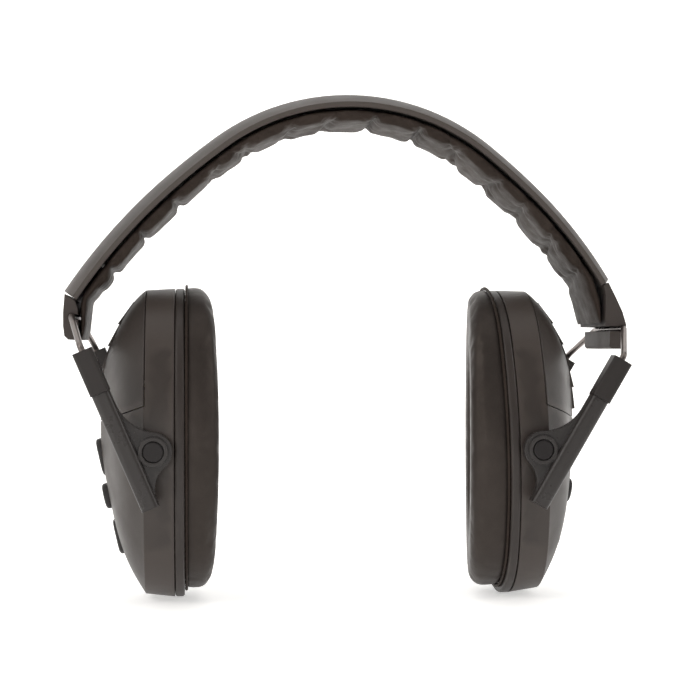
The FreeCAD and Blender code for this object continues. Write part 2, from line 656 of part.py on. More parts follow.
def ear_cushion(name, side):
    """The padded seal: a ring that is thicker at the front than at the back, with rounded edges."""
    body = new_body(f"ear_cushion_{name}", cup_place(side))
    face, back = size("cushion_face"), size("ring_face") - 0.05
    blank = section_sketch(body, side, back, size("cushion_low"), size("cushion_high"),
                           size("cushion_half_depth"))
    pad(body, blank, "20", reverse=side > 0)
    wedge = math.tan(math.radians(size(f"cushion_wedge_{name}")))
    beyond = size("cushion_half_depth") + 5.0
    slope = new_sketch(body, "XY_Plane", "FaceSlope")
    slope.AttachmentOffset = cup_place(side).inverse()
    add_chain(slope, [(side * x, y) for x, y in (
        (face - wedge * beyond, -beyond), (face + wedge * beyond, beyond), (20.0, beyond), (20.0, -beyond))])
    pocket(body, slope, f"2 * {THROUGH}", midplane=True)
    middle, half_height = size("cup_height") / 2, size("cushion_opening_height") / 2
    opening = section_sketch(body, side, 20.0, middle - half_height, middle + half_height,
                             size("cushion_opening_half_depth"), "Opening")
    cut = pocket(body, opening, "60", reverse=side > 0)

    def on_face(edge):
        ends = [edge.valueAt(edge.FirstParameter + (edge.LastParameter - edge.FirstParameter) * share)
                for share in (0.1, 0.5, 0.9)]
        ends = [body.Placement * point for point in ends]
        return all(abs(side * point.x - face - wedge * point.y) < 0.01 for point in ends)

    round_edges(body, cut, size("cushion_edge"), on_face)


def disc_oval(label, side, face, thickness, height, half_depth):
    """A flat oval plate across the cup."""
    body = new_body(label, cup_place(side))
    middle = size("cup_height") / 2
    outline = section_sketch(body, side, face, middle - height / 2, middle + height / 2, half_depth)
    return body, pad(body, outline, thickness, reverse=side < 0)


def foam_liner(name, side):
    gap = 0.15
    face = size("ring_back") - size("foam_thickness") + gap
    disc_oval(f"foam_liner_{name}", side, face, cell("foam_thickness"), size("opening_height") - 2 * gap,
              size("opening_half_depth") - gap)


def speaker_bracket(name, side):
    """The baffle that holds the speaker behind the foam."""
    wall = size("shell_wall")
    face = size("ring_back") + 0.2
    body, _ = disc_oval(f"speaker_bracket_{name}", side, face, cell("bracket_thickness"),
                        size("cup_height") - 2 * wall - 1.0, size("cup_half_depth") - wall - 0.5)
    holes = new_sketch(body, "YZ_Plane", "Holes", f"{side * (face - 1)}")
    add_circle(holes, 0.0, size("cup_height") / 2, f"{cell('speaker_diameter')} / 2 - 3")
    for y, z in screw_points():
        add_circle(holes, y, z, f"{cell('screw_post_diameter')} / 2 + 0.1")
    pocket(body, holes, "4", reverse=side > 0)


def speaker(name, side):
    """Loudspeaker: a rim, a basket and a magnet turned about one axis."""
    body = new_body(f"speaker_{name}", cup_place(side))
    start = size("ring_back") + 0.2 + size("bracket_thickness")
    radius, depth, middle = size("speaker_diameter") / 2, size("speaker_depth"), size("cup_height") / 2
    profile = [(start, 0.0), (start, radius), (start + 1.0, radius), (start + 1.6, radius - 4.0),
               (start + depth, radius - 9.0), (start + depth, 0.0)]
    sketch = new_sketch(body, "XZ_Plane", "Profile")
    add_chain(sketch, [(side * x, z + middle) for x, z in profile])
    axis = new_sketch(body, "XZ_Plane", "Axis")
    ends = [Vector(side * x, middle, 0) for x in (start, start + depth)]
    axis.addGeometry(Part.LineSegment(*ends), False)
    turned = body.newObject("PartDesign::Revolution", "Turned")
    turned.Profile = sketch
    turned.ReferenceAxis = (axis, ["Edge1"])
    turned.Angle = 360


def battery_tray(name, side):
    """The bulkhead under the battery cover."""
    body, _ = disc_oval(f"battery_tray_{name}", side, size("tray_face"), cell("tray_thickness"),
                        size("cup_height") - 8.0, size("cup_half_depth") - 4.0)
    lower = new_sketch(body, "XZ_Plane", "LowerPart")
    low = size("tray_low")
    add_chain(lower, [(side * x, z) for x, z in ((50, low), (80, low), (80, -10), (50, -10))])
    pocket(body, lower, THROUGH, midplane=True)
    posts = new_sketch(body, "YZ_Plane", "PostHoles", f"{side * (size('tray_face') - 1)}")
    for y, z in screw_points()[1::2]:
        add_circle(posts, y, z, f"{cell('screw_post_diameter')} / 2 + 0.1")
    pocket(body, posts, "5", reverse=side > 0)


def batteries(name, side):
    """Two AAA cells lying across the cup behind the cover."""
    cells_made = []
    case_length = f"{cell('battery_length')} - {cell('battery_tip_length')}"
    for index in range(2):
        height = size("battery_height") + index * size("battery_pitch")
        base = Vector(side * size("battery_reach"), -size("battery_length") / 2, height)
        turn = Rotation(Vector(1, 0, 0), -90)
        case = cylinder("Case", f"{cell('battery_diameter')} / 2", case_length,
                        cup_place(side) * Placement(base, turn))
        tip_base = base + Vector(0, size("battery_length") - size("battery_tip_length"), 0)
        tip = cylinder("Tip", cell("battery_tip_radius"), cell("battery_tip_length"),
                       cup_place(side) * Placement(tip_base, turn))
        battery = doc.addObject("Part::Fuse", "Battery")
        battery.Base, battery.Tool = case, tip
        cells_made.append(battery)
    group(f"batteries_{name}", cells_made)


def circuit_board(name, side):
    body = new_body(f"circuit_board_{name}", panel_place(side))
    sketch = new_sketch(body, "XY_Plane", "Outline", f"-{cell('board_depth_in')}")
    half, low, high = size("board_half_width"), size("board_low"), size("board_high")
    add_chain(sketch, [(low, -half), (high, -half), (high, half), (low, half)])
    pad(body, sketch, cell("board_thickness"), reverse=True)


def tact_switches(name, side):
    """Three small switches on the board, one under each button."""
    switches = []
    for along, _, _ in BUTTONS.values():
        box = doc.addObject("Part::Box", "Switch")
        for edge in ("Length", "Width"):
            box.setExpression(edge, cell("switch_side"))
        box.setExpression("Height", cell("switch_height"))
        half = size("switch_side") / 2
        corner = Placement(Vector(-half, -half, 0), Rotation())
        box.Placement = panel_place(side, along, -size("board_depth_in")) * corner
        switches.append(box)
    group(f"tact_switches_{name}", switches)


def button(label, name, side):
    """A rubber-tipped key that sinks into the housing."""
    along, rise, length = BUTTONS[label]
    body = new_body(f"{label}_{name}", panel_place(side, along, rise))
    root = new_sketch(body, "XY_Plane", "Outline", f"-{size('button_root') + rise}")
    add_slot(root, length, size("button_width"))
    high = size("power_rise" if label == "button_power" else "button_rise")
    key = pad(body, root, f"{size('button_root') + rise + high}")
    round_edges(body, key, size("button_round"),
                lambda edge: edge.BoundBox.ZLength < 0.01 and edge.CenterOfMass.z > 1.0)
    if label == "button_power":
        ring = new_sketch(body, "XY_Plane", "Ring", f"{high} - {cell('power_ring_depth')}")
        for radius in ("power_ring_outer", "power_ring_inner"):
            add_circle(ring, 0.0, 0.0, cell(radius), size(radius))
        pocket(body, ring, "3", reverse=True)


def microphone(name, side):
    """Microphone capsule that listens forward through the wall of the cup."""
    base = Vector(side * size("pivot_reach"), size("microphone_inset") - size("cup_half_depth"),
                  size("microphone_height"))
    capsule = cylinder(f"microphone_{name}", f"{cell('microphone_diameter')} / 2", cell("microphone_depth"),
                       cup_place(side) * Placement(base, Rotation(Vector(1, 0, 0), 90)))
    capsule.Label = f"microphone_{name}"
    parts.append(capsule)


def shell_screws(name, side):
    """Four screws from the base ring into the housing's posts."""
    screws = []
    for y, z in screw_points():
        turn = Rotation(Vector(0, 1, 0), 90 * side)
        seat, head_depth = size("ring_face") + size("screw_seat_depth"), size("screw_head_depth")
        head = cylinder("Head", f"{cell('screw_head_diameter')} / 2 - 0.05", cell("screw_head_depth"),
                        cup_place(side) * Placement(Vector(side * (seat - head_depth), y, z), turn))
        shank = cylinder("Shank", f"{cell('screw_diameter')} / 2", f"{cell('screw_length')} - {head_depth}",
                         cup_place(side) * Placement(Vector(side * seat, y, z), turn))
        screw = doc.addObject("Part::Fuse", "Screw")
        screw.Base, screw.Tool = head, shank
        screws.append(screw)
    group(f"shell_screws_{name}", screws)


def screw_posts(name, side):
    """Four tubes inside the housing that take the screws."""
    posts = []
    for y, z in screw_points():
        turn = Rotation(Vector(0, 1, 0), 90 * side)
        start, length = size("ring_back") + 0.1, size("screw_post_length")
        outside = cylinder("Post", f"{cell('screw_post_diameter')} / 2", f"{length}",
                           cup_place(side) * Placement(Vector(side * start, y, z), turn))
        hole = cylinder("Hole", f"{cell('screw_diameter')} / 2", f"{length + 1}",
                        cup_place(side) * Placement(Vector(side * (start - 0.5), y, z), turn))
        tube = doc.addObject("Part::Cut", "Tube")
        tube.Base, tube.Tool = outside, hole
        posts.append(tube)
    group(f"screw_posts_{name}", posts)


# ---------------------------------------------------------------- assembly

def build():
    headband_strip()
    spring_band()
    headband_pad()
    for name, side in SIDES.items():
        end_block(name, side)
        wire_frame(name, side)
        for place_name, facing in (("front", -1), ("rear", 1)):
            collar(name, place_name, side, facing)
            arm(name, place_name, side, facing)
        pivot_pins(name, side)
        cup_shell(name, side)
        battery_cover(name, side)
        cushion_ring(name, side)
        ear_cushion(name, side)
        foam_liner(name, side)
        speaker_bracket(name, side)
        speaker(name, side)
        battery_tray(name, side)
        batteries(name, side)
        circuit_board(name, side)
        tact_switches(name, side)
        for label in BUTTONS:
            button(label, name, side)
        microphone(name, side)
        screw_posts(name, side)
        shell_screws(name, side)


def stand_on_origin():
    """Moves the whole object so that the middle of its foot is the origin."""
    box = FreeCAD.BoundBox()
    for part in parts:
        box.add(part.Shape.optimalBoundingBox(False, False))
    move = Vector(-box.Center.x, -box.Center.y, -box.ZMin)
    for part in parts:
        part.Placement = Placement(move, Rotation()) * part.Placement
    print(f"shift {move.x:.4f} {move.y:.4f} {move.z:.4f}")
    print(f"size {box.XLength:.2f} {box.YLength:.2f} {box.ZLength:.2f}")


def check_and_export():
    failed = [item.Label for item in doc.Objects if {"Invalid", "Error"} & set(item.State)]
    for part in parts:
        if part.Shape.isNull() or not part.Shape.isValid() or not part.Shape.Solids:
            failed.append(f"{part.Label} shape")
    if failed:
        raise RuntimeError(f"not built: {failed}")
    os.makedirs("parts", exist_ok=True)
    for part in parts:
        part.Shape.exportStep(f"parts/{part.Label}.step")
        print(part.Label, len(part.Shape.Solids), round(part.Shape.Volume, 1))


build()
doc.recompute()
stand_on_origin()
doc.recompute()
check_and_export()
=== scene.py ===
"""Looks of the folding earmuff: gathered headband pad, ring cushions with their seam welts, materials,
soft studio light and the camera. Metres, +X from the left cup to the right cup, +Y to the back, +Z up."""
import json
import math
import random

import bmesh
import bpy
from mathutils import Matrix, Vector, noise


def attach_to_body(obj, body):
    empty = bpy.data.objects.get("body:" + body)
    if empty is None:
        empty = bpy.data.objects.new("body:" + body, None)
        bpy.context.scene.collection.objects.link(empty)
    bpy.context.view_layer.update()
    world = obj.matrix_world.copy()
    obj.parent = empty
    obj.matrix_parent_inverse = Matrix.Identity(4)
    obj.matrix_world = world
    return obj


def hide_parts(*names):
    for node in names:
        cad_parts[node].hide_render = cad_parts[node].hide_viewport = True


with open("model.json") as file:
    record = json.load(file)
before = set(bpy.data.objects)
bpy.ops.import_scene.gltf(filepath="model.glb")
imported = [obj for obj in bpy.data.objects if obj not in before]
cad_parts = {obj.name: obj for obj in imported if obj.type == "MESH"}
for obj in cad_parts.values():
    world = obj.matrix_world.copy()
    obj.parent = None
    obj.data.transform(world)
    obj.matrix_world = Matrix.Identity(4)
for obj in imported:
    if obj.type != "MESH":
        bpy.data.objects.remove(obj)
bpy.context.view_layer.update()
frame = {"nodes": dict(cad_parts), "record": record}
scene = bpy.context.scene
MM = 0.001
SIDES = {"left": -1, "right": 1}
joints = {joint["name"]: joint for joint in frame["record"]["behaviour"]["joints"]}


# ---------------------------------------------------------------- node helpers

# The Mix node's colour sockets, by number: its other data types use the same names
MIX_FIRST, MIX_SECOND, MIX_RESULT = 6, 7, 2


class Nodes:
    """A material being built: shader nodes are added by type, with inputs and links given by name."""

    def __init__(self, name):
        self.material = bpy.data.materials.new(name)
        self.material.use_nodes = True
        self.tree = self.material.node_tree
        self.shader = self.tree.nodes["Principled BSDF"]
        self.place = self.add("ShaderNodeTexCoord").outputs["Object"]

    def add(self, kind, links=None, **inputs):
        """A new node; an underscore in a constant input's name stands for a space."""
        node = self.tree.nodes.new(kind)
        for name, value in inputs.items():
            node.inputs[name.replace("_", " ")].default_value = value
        for name, source in (links or {}).items():
            self.tree.links.new(source, node.inputs[name])
        return node

    def noise(self, scale, detail=3.0, roughness=0.5):
        node = self.add("ShaderNodeTexNoise", {"Vector": self.place}, Scale=scale, Detail=detail,
                        Roughness=roughness)
        return node.outputs["Fac"]

    def cells(self, scale):
        """Distance to the middle of the nearest of many scattered cells."""
        node = self.add("ShaderNodeTexVoronoi", {"Vector": self.place}, Scale=scale)
        return node.outputs["Distance"]

    def ramp(self, source, low, high, from_min, from_max):
        """Maps a value between from_min and from_max to one between low and high."""
        node = self.add("ShaderNodeMapRange", {"Value": source}, From_Min=from_min, From_Max=from_max,
                        To_Min=low, To_Max=high)
        return node.outputs["Result"]

    def mix(self, factor, first, second):
        """Blends two colours, each a constant or a socket."""
        node = self.tree.nodes.new("ShaderNodeMix")
        node.data_type = "RGBA"
        self.tree.links.new(factor, node.inputs["Factor"])
        for number, colour in ((MIX_FIRST, first), (MIX_SECOND, second)):
            if isinstance(colour, (tuple, list)):
                node.inputs[number].default_value = (*colour, 1.0)
            else:
                self.tree.links.new(colour, node.inputs[number])
        return node.outputs[MIX_RESULT]

    def bump(self, height, distance, strength=1.0, normal=None):
        links = {"Height": height}
        if normal is not None:
            links["Normal"] = normal
        return self.add("ShaderNodeBump", links, Distance=distance, Strength=strength).outputs["Normal"]

    def edge(self):
        """0 in hollows, 0.5 on flats and 1 on outer edges."""
        return self.add("ShaderNodeNewGeometry").outputs["Pointiness"]

    def finish(self, colour, roughness, normal, **constants):
        """Sets the shader's inputs and gives the material."""
        for name, source in (("Base Color", colour), ("Roughness", roughness), ("Normal", normal)):
            if isinstance(source, (int, float)):
                self.shader.inputs[name].default_value = source
            elif source is not None:
                self.tree.links.new(source, self.shader.inputs[name])
        for name, value in constants.items():
            self.shader.inputs[name.replace("_", " ")].default_value = value
        return self.material


def tone(colour, factor):
    """A colour made lighter or darker."""
    return [channel * factor for channel in colour]


def plastic(name, colour, roughness, grain=0.00002):
    """Moulded plastic: fine spark-eroded grain, cloudy gloss, edges that look rounded, and a painted
    highlight that makes the edges a little paler. The grain is its depth in metres."""
    cloud_scale, smudge_scale, grain_scale, edge_radius = 38.0, 85.0, 2600.0, 0.0007
    nodes = Nodes(name)
    cloud = nodes.noise(cloud_scale, 4.0, 0.6)
    shade = nodes.mix(nodes.ramp(cloud, 0.0, 1.0, 0.35, 0.65), tone(colour, 0.9), tone(colour, 1.1))
    # Painted highlight: outer edges are made paler, as if they caught the light
    edges = nodes.ramp(nodes.edge(), 0.0, 1.0, 0.515, 0.56)
    shade = nodes.mix(edges, shade, tone(colour, 1.35))
    fine = nodes.noise(grain_scale, 2.0, 0.6)
    smudge = nodes.ramp(nodes.noise(smudge_scale, 5.0, 0.65), roughness - 0.05, roughness + 0.07, 0.3, 0.7)
    soft_edges = nodes.add("ShaderNodeBevel", Radius=edge_radius).outputs["Normal"]
    normal = nodes.bump(fine, grain, 1.0, soft_edges)
    return nodes.finish(shade, smudge, normal, Specular_IOR_Level=0.32)


def leather(name, colour, roughness, grain, specular):
    """Artificial leather: small raised cells, folds made nearly black by painted shade, and a soft warm
    gloss.
    """
    warp_scale, pore_scale, cloud_scale, warm = 260.0, 1500.0, 55.0, (1.0, 0.86, 0.76, 1.0)
    nodes = Nodes(name)
    warp = nodes.noise(warp_scale, 2.0, 0.5)
    pores = nodes.cells(pore_scale)
    pebble = nodes.ramp(pores, 0.0, 1.0, 0.05, 0.7)
    cloud = nodes.ramp(nodes.noise(cloud_scale, 4.0, 0.6), 0.0, 1.0, 0.35, 0.65)
    shade = nodes.mix(cloud, tone(colour, 0.85), tone(colour, 1.18))
    shade = nodes.mix(nodes.ramp(pebble, 0.25, 0.0, 0.0, 0.5), shade, tone(colour, 0.6))
    # Painted shade: concave places such as the creases of the folds are darkened almost to black
    hollows = nodes.ramp(nodes.edge(), 1.0, 0.0, 0.40, 0.485)
    shade = nodes.mix(hollows, shade, tone(colour, 0.15))
    gloss = nodes.ramp(warp, roughness - 0.06, roughness + 0.08, 0.3, 0.7)
    normal = nodes.bump(pebble, grain)
    normal = nodes.bump(warp, grain * 2.5, 0.6, normal)
    return nodes.finish(shade, gloss, normal, Specular_IOR_Level=specular, Specular_Tint=warm)


def steel(name, colour, roughness, metallic=1.0):
    """Drawn wire or pressed steel: very fine grain and darker, glossier smears."""
    smear_scale, grain_scale, grain = 160.0, 1800.0, 0.00001
    nodes = Nodes(name)
    smear = nodes.noise(smear_scale, 4.0, 0.6)
    shade = nodes.mix(nodes.ramp(smear, 0.0, 1.0, 0.35, 0.65), tone(colour, 0.75), tone(colour, 1.15))
    gloss = nodes.ramp(smear, roughness - 0.06, roughness + 0.08, 0.3, 0.7)
    normal = nodes.bump(nodes.noise(grain_scale, 2.0, 0.5), grain)
    return nodes.finish(shade, gloss, normal, Metallic=metallic)


def foam(name, colour):
    """Open-cell foam: round pores of two sizes."""
    nodes = Nodes(name)
    large, small = nodes.cells(900.0), nodes.cells(2300.0)
    shade = nodes.mix(nodes.ramp(large, 0.0, 1.0, 0.1, 0.5), tone(colour, 0.35), colour)
    normal = nodes.bump(small, 0.0001, 1.0, nodes.bump(large, 0.0003))
    return nodes.finish(shade, 0.95, normal, Specular_IOR_Level=0.2)


def laminate(name, colour):
    """Circuit board: solder mask over faint copper traces."""
    nodes = Nodes(name)
    wave = nodes.add("ShaderNodeTexWave", {"Vector": nodes.place}, Scale=140.0, Distortion=3.0)
    traces = wave.outputs["Fac"]
    shade = nodes.mix(nodes.ramp(traces, 0.0, 1.0, 0.45, 0.55), colour, tone(colour, 1.6))
    return nodes.finish(shade, 0.35, nodes.bump(traces, 0.00003))


# The look of every slot: linear colour, roughness, then the grain's depth in metres and leather's gloss
LOOKS = {
    "strip_plastic": plastic("strip_plastic", (0.052, 0.043, 0.038), 0.48, 0.00003),
    "spring_steel": steel("spring_steel", (0.10, 0.095, 0.09), 0.42),
    "pad_leather": leather("pad_leather", (0.034, 0.026, 0.022), 0.50, 0.00003, 0.07),
    "hinge_plastic": plastic("hinge_plastic", (0.036, 0.029, 0.026), 0.60, 0.00001),
    "wire_steel": steel("wire_steel", (0.20, 0.175, 0.165), 0.30, 0.9),
    "arm_plastic": plastic("arm_plastic", (0.026, 0.023, 0.022), 0.28, 0.000008),
    "collar_plastic": plastic("collar_plastic", (0.017, 0.014, 0.013), 0.42, 0.00001),
    "pin_steel": plastic("pin_steel", (0.009, 0.007, 0.007), 0.40, 0.000006),
    "shell_plastic": plastic("shell_plastic", (0.042, 0.034, 0.030), 0.42, 0.000014),
    "cover_plastic": plastic("cover_plastic", (0.048, 0.040, 0.036), 0.42, 0.000014),
    "ring_plastic": plastic("ring_plastic", (0.036, 0.029, 0.026), 0.42, 0.000012),
    "cushion_leather": leather("cushion_leather", (0.028, 0.023, 0.021), 0.46, 0.000014, 0.3),
    "liner_foam": foam("liner_foam", (0.030, 0.029, 0.029)),
    "inner_plastic": plastic("inner_plastic", (0.030, 0.030, 0.030), 0.55),
    "speaker_metal": steel("speaker_metal", (0.25, 0.25, 0.25), 0.40),
    "battery_metal": steel("battery_metal", (0.35, 0.30, 0.20), 0.30),
    "board_laminate": laminate("board_laminate", (0.02, 0.09, 0.04)),
    "switch_plastic": plastic("switch_plastic", (0.03, 0.03, 0.03), 0.35),
    "key_rubber": plastic("key_rubber", (0.022, 0.020, 0.020), 0.52, 0.00001),
    "screw_steel": steel("screw_steel", (0.50, 0.50, 0.50), 0.30),
}


def dress_frame():
    """Gives every carried-over node the look of its slot."""
    for part in frame["record"]["subparts"]:
        mesh = frame["nodes"][part["node"]].data
        mesh.materials.clear()
        mesh.materials.append(LOOKS[part["material_slot"]])


# ---------------------------------------------------------------- shared mesh work

def grid_surface(name, rings, closed_rows):
    """A quad surface over rows of points, where every row is a closed loop. The last row joins the
    first one if the rows are closed; otherwise both ends are capped."""
    width = len(rings[0])
    points = [point for ring in rings for point in ring]
    faces = []
    rows = len(rings)
    for row in range(rows if closed_rows else rows - 1):
        here, ahead = row * width, (row + 1) % rows * width
        for step in range(width):
            beside = (step + 1) % width
            faces.append((here + step, here + beside, ahead + beside, ahead + step))
    if not closed_rows:
        for base, turn in ((0, 1), ((rows - 1) * width, -1)):
            loop = list(range(base, base + width))
            faces += cap_faces(loop[::turn])
    mesh = bpy.data.meshes.new(name)
    mesh.from_pydata(points, [], faces)
    mesh.validate()
    piece = bpy.data.objects.new(name, mesh)
    scene.collection.objects.link(piece)
    work = bmesh.new()
    work.from_mesh(mesh)
    bmesh.ops.recalc_face_normals(work, faces=work.faces)
    work.to_mesh(mesh)
    work.free()
    mesh.shade_smooth()
    return piece


def cap_faces(loop):
    """Closes a flat loop with strips of quads between its two long sides."""
    half = len(loop) // 2
    return [(loop[k], loop[k + 1], loop[-k - 2], loop[-k - 1]) for k in range(half - 1)]


def superellipse(turn, power):
    """A point of a rounded square from -1 to 1, as a pair."""
    cos, sin = math.cos(turn), math.sin(turn)
    return (math.copysign(abs(cos) ** (2 / power), cos), math.copysign(abs(sin) ** (2 / power), sin))


def inflate(piece, pressure, growth, frames, cap, pinned):
    """Blows a closed piece up as cloth, with spare material that folds, and caps how far a point
    moves. Pinned points stay where they are. Works at a larger scale, where cloth is steady."""
    scale = 20.0
    rest = [v.co.copy() for v in piece.data.vertices]
    piece.vertex_groups.new(name="pin").add(pinned, 1.0, "REPLACE")
    for vertex, point in zip(piece.data.vertices, rest):
        vertex.co = point * scale
    cloth = piece.modifiers.new("Cloth", "CLOTH")
    settings = cloth.settings
    settings.use_pressure = True
    settings.uniform_pressure_force = pressure
    settings.shrink_min = -growth
    settings.vertex_group_mass = "pin"
    settings.pin_stiffness = 1.0
    settings.tension_stiffness = settings.compression_stiffness = 12.0
    settings.bending_stiffness = 0.3
    settings.quality = 5
    settings.effector_weights.gravity = 0.0
    cloth.point_cache.frame_start = 1
    cloth.point_cache.frame_end = frames
    for number in range(1, frames + 1):
        scene.frame_set(number)
    shaped = piece.evaluated_get(bpy.context.evaluated_depsgraph_get())
    moved = [v.co / scale for v in shaped.data.vertices]
    piece.modifiers.remove(cloth)
    scene.frame_set(1)
    piece.vertex_groups.clear()
    for vertex, before, after in zip(piece.data.vertices, rest, moved):
        shift = after - before
        vertex.co = before + (shift if shift.length <= cap else shift * (cap / shift.length))


def subdivide(piece):
    """Applies one level of smooth subdivision."""
    modifier = piece.modifiers.new("Subdivision", "SUBSURF")
    modifier.levels = modifier.render_levels = 1
    with bpy.context.temp_override(object=piece, active_object=piece, selected_objects=[piece]):
        bpy.ops.object.modifier_apply(modifier=modifier.name)


def attach(piece, body, slot, *replaced):
    """Gives a finished piece its look and its body, and hides the nodes it replaces."""
    piece.data.materials.append(LOOKS[slot])
    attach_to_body(piece, body)
    if replaced:
        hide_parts(*replaced)


# ---------------------------------------------------------------- headband pad

# The headband's line: three tangent arcs on each side of the crown, as in the part. Each arc has a
# radius and the angle from straight up where it ends.
CROWN_HEIGHT, CROWN_SHIFT = 82.5 * MM, 0.85 * MM
CROWN_ARC, SHOULDER_ARC = (81.7 * MM, 37.7), (268.0 * MM, 42.0)
END_ARCS = {-1: (211.0 * MM, 90.0), 1: (165.0 * MM, 90.0)}
# The pad: depths of its outer and inner line below the crest, and the angle where its tails begin
PAD_TOP, PAD_BOTTOM, PAD_END, PAD_HALF_DEPTH = 6.65 * MM, 10.6 * MM, 56.0, 17.3 * MM
PAD_ROWS, PAD_WIDTH, PAD_LINE_STEPS = 300, 56, 260
# The pad's tails in front of the hinge blocks: outer and inner line from the pad's end down, in
# millimetres outward and upward from the middle of the line between the hinge bars
TAILS = {
    -1: (((94.0, 7.9), (94.8, 4.6), (94.5, -1.0), (94.1, -5.5), (93.9, -7.8)),
         ((91.4, 5.8), (91.7, 2.0), (92.0, -2.0), (92.5, -5.3), (93.2, -7.9))),
    1: (((88.7, 14.2), (89.7, 11.0), (90.1, 8.0), (90.1, 4.6), (90.1, 1.8)),
        ((84.8, 12.8), (86.0, 9.8), (87.0, 7.0), (88.0, 4.2), (88.8, 1.8)))}


def band_frame():
    """Places the headband's own plane in the model: origin between the two hinge bars."""
    left, right = (Vector(joints[f"fold_{name}"]["pos_m"]) for name in SIDES)
    along = (right - left).normalized()
    up = Vector((-along.z, 0, along.x))
    turn = Matrix((along, Vector((0, 1, 0)), up)).transposed().to_4x4()
    return Matrix.Translation((left + right) / 2) @ turn


def band_point(side, angle, depth):
    """A point of the headband's line at an angle from straight up and a depth below its crest."""
    radius, until = CROWN_ARC
    x, z = 0.0, CROWN_HEIGHT - radius
    for after_radius, after_until in (SHOULDER_ARC, END_ARCS[side]):
        if angle <= until:
            break
        turn = math.radians(until)
        x -= (after_radius - radius) * math.sin(turn)
        z -= (after_radius - radius) * math.cos(turn)
        radius, until = after_radius, after_until
    turn = math.radians(angle)
    outward = x + (radius - depth) * math.sin(turn)
    return Vector((side * outward + CROWN_SHIFT, z + (radius - depth) * math.cos(turn)))


def pad_lines():
    """Outer and inner points across the pad, evenly spaced from its left tail to its right tail."""
    halves = []
    for side in (-1, 1):
        angles = [PAD_END * k / PAD_LINE_STEPS for k in range(PAD_LINE_STEPS + 1)]
        half = [(band_point(side, angle, PAD_TOP), band_point(side, angle, PAD_BOTTOM)) for angle in angles]
        half += [tuple(Vector((side * x * MM, z * MM)) for x, z in pair) for pair in zip(*TAILS[side])]
        halves.append(half)
    line = halves[0][::-1] + halves[1][1:]
    middles = [(outer + inner) / 2 for outer, inner in line]
    lengths = [0.0]
    for before, after in zip(middles, middles[1:]):
        lengths.append(lengths[-1] + (after - before).length)
    even, index = [], 0
    for k in range(PAD_ROWS):
        aim = lengths[-1] * k / (PAD_ROWS - 1)
        while index < len(line) - 2 and lengths[index + 1] < aim:
            index += 1
        share = (aim - lengths[index]) / (lengths[index + 1] - lengths[index])
        even.append(tuple(line[index][n].lerp(line[index + 1][n], share) for n in (0, 1)))
    return even, lengths[-1]


def smooth_step(value):
    """Eases from 0 to 1."""
    value = max(0.0, min(1.0, value))
    return value * value * (3 - 2 * value)


def gather(along, across, creases):
    """Depth of the puckers at a place on the pad: a sharp valley at each gather, in metres."""
    valley = 0.0
    for place, slant, depth, width in creases:
        distance = along - place - slant * across
        valley += depth * math.exp(-abs(distance) / width)
    return valley


def headband_pad():
    """The gathered sleeve: a tube of artificial leather with spare length, blown up between its
    gathers, then puckered at each of them. Its ends are drawn in to flat tails."""
    seed, corner_power = 11, 3.2
    # Where the first and last gathers lie from the pad's ends, and how near a row is to one to be stitched
    first_gather, last_gather, stitch_reach = 0.028, 0.010, 0.0008
    # Rows from each end: drawn in, held while the pad is blown up, and where the ripples start and are full
    narrow_rows, held_rows, calm_from, calm_over = 3, 24, 4, 30
    held_back = -0.3
    lines, length = pad_lines()
    place = band_frame()
    dice = random.Random(seed)
    creases, spot = [], -length / 2 + first_gather
    while spot < length / 2 - last_gather:
        slant = dice.uniform(-0.3, 0.3)
        depth = dice.uniform(1.2, 2.2) * MM
        width = dice.uniform(0.7, 1.2) * MM
        creases.append((spot, slant, depth, width))
        spot += dice.uniform(14.5, 19.0) * MM
    section = [superellipse(2 * math.pi * step / PAD_WIDTH, corner_power) for step in range(PAD_WIDTH)]
    from_end = [min(row, PAD_ROWS - 1 - row) for row in range(PAD_ROWS)]
    alongs = [length * (row / (PAD_ROWS - 1) - 0.5) for row in range(PAD_ROWS)]
    rings = []
    for row, (outer, inner) in enumerate(lines):
        end = from_end[row] / narrow_rows
        narrow = 1.0 if end >= 1 else math.sqrt(0.3 + 0.7 * end)
        ring = []
        for across, down in section:
            middle = (outer + inner) / 2 + (inner - outer) / 2 * down * narrow
            sideways = across * PAD_HALF_DEPTH * (0.94 + 0.06 * narrow)
            ring.append(place @ Vector((middle.x, sideways, middle.y)))
        rings.append(ring)
    pad = grid_surface("gathered_pad", rings, False)
    pinned = []
    for row, along in enumerate(alongs):
        stitched = any(abs(along - crease[0]) < stitch_reach for crease in creases)
        held = stitched or from_end[row] < held_rows
        pinned += [row * PAD_WIDTH + step for step, (_, down) in enumerate(section)
                   if held or down < held_back]
    inflate(pad, pressure=4.0, growth=0.05, frames=14, cap=1.0 * MM, pinned=pinned)
    turn = place.to_3x3()
    for index, vertex in enumerate(pad.data.vertices):
        row, step = divmod(index, PAD_WIDTH)
        across, down = section[step]
        along, (outer, inner) = alongs[row], lines[row]
        # Broad and fine ripples and the puckers: weaker towards the ends, and none on the back of the pad
        calm = smooth_step((from_end[row] - calm_from) / calm_over)
        amount = gather(along, across * PAD_HALF_DEPTH, creases) * (0.25 + 0.75 * calm)
        ripple = noise.noise(Vector((along * 260, across * 1.8, down * 1.3))) * 0.26 * MM
        ripple += noise.noise(Vector((along * 95, across * 1.3 + 9, down))) * 0.6 * MM
        ripple *= (0.3 + 0.7 * calm) * smooth_step((down + 0.9) / 0.9)
        amount *= smooth_step((down + 1.05) / 0.5)
        inward = (inner - outer).normalized() * max(down, 0.0)
        shift = Vector((inward.x, 0.5 * across, inward.y)) * ripple
        shift -= Vector((inward.x, 0.8 * across, inward.y)) * amount
        vertex.co += turn @ shift
    subdivide(pad)
    attach(pad, "headband", "pad_leather", "headband_pad")


# ---------------------------------------------------------------- ear cushions

